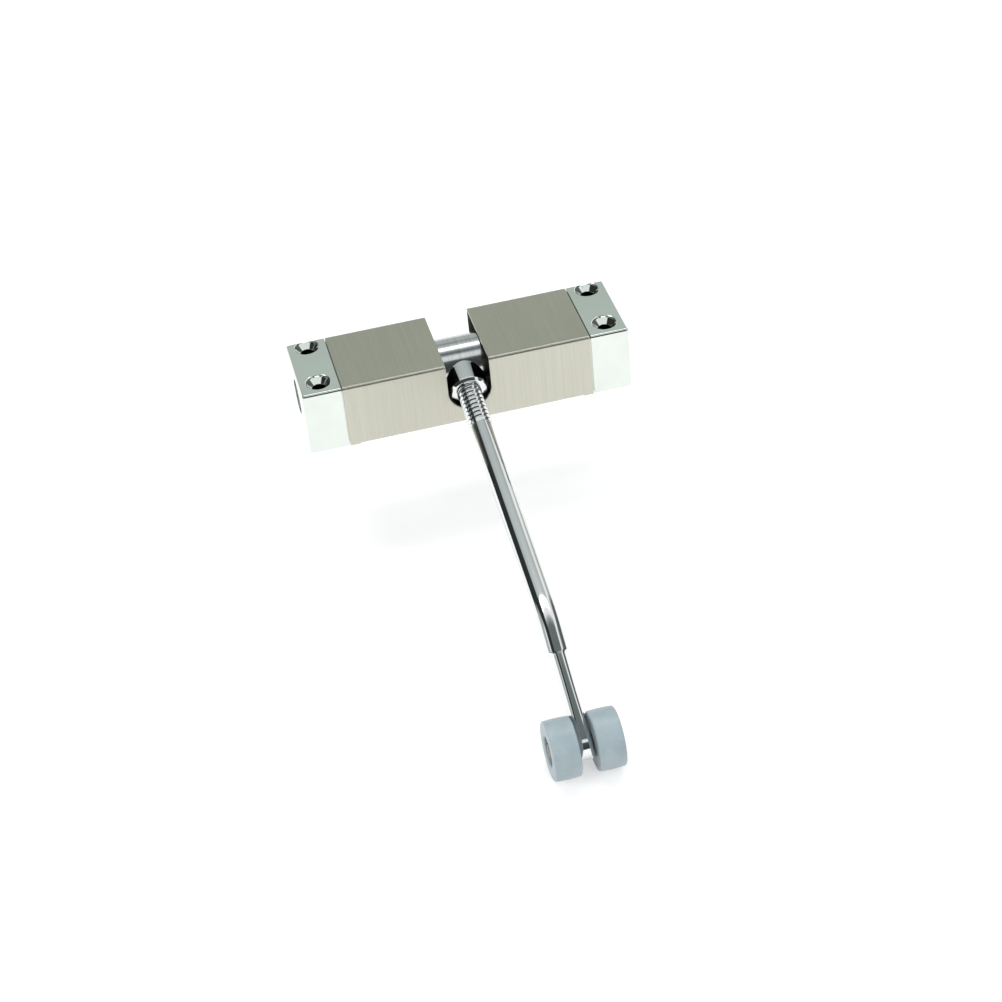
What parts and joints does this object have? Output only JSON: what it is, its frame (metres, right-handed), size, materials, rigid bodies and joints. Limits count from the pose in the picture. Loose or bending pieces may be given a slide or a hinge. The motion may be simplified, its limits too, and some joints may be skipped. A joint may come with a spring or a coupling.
{
  "type": "door closer",
  "caption": "Small surface-mounted spring door closer: box body with a slotted cover between two end caps, and a cranked rod arm that ends in a pair of rollers.",
  "frame": {"origin": "centre of the mounting face, midway between the end caps", "axes": "+X along the body to the adjuster end, -Y is the side the arm points to at rest, +Z out of the mounting face"},
  "size_m": [0.096, 0.1488, 0.0547],
  "materials": {
    "brushed_cover": "stainless sheet with a straight brushed grain",
    "chrome": "polished bright plating",
    "plain_steel": "bright zinc-plated steel",
    "dark_steel": "black oxide spring steel",
    "spring_steel": "oiled spring wire",
    "bronze": "sintered bronze",
    "satin_zinc": "turned satin plating",
    "nylon": "satin moulded nylon"
  },
  "bodies": {
    "housing": {"cover": "brushed_cover", "left_end_cap": "chrome", "right_end_cap": "chrome", "base_plate": "plain_steel", "left_cap_screws": "plain_steel", "right_cap_screws": "plain_steel", "spring_anchor": "plain_steel", "left_bush": "bronze", "adjuster_lock_screw": "dark_steel", "left_torsion_spring": "spring_steel", "right_torsion_spring": "spring_steel"},
    "adjuster": {"tension_adjuster": "plain_steel", "right_bush": "bronze"},
    "arm": {"spindle": "satin_zinc", "arm_collar": "chrome", "arm_rod": "chrome", "roller_axle": "plain_steel", "left_axle_washer": "plain_steel", "right_axle_washer": "plain_steel", "left_axle_clip": "dark_steel", "right_axle_clip": "dark_steel"},
    "left_roller": {"left_roller": "nylon"},
    "right_roller": {"right_roller": "nylon"}
  },
  "joints": [
    {"name": "arm_swing", "type": "hinge", "parent": "housing", "child": "arm", "pos_m": [0, 0, 0.011], "axis": [-1, 0, 0], "range_deg": [0, 203], "stiffness_Nm_per_rad": 0.5, "springref_deg": -85.94, "deforming": ["left_torsion_spring", "right_torsion_spring"]},
    {"name": "left_roller_spin", "type": "hinge", "parent": "arm", "child": "left_roller", "pos_m": [-0.006, -0.1267, -0.02654], "axis": [-1, 0, 0], "continuous": true},
    {"name": "right_roller_spin", "type": "hinge", "parent": "arm", "child": "right_roller", "pos_m": [0.006, -0.1267, -0.02654], "axis": [-1, 0, 0], "continuous": true},
    {"name": "tension_adjust", "type": "hinge", "parent": "housing", "child": "adjuster", "pos_m": [0.04, 0, 0.011], "axis": [-1, 0, 0], "range_deg": [0, 270]}
  ]
}
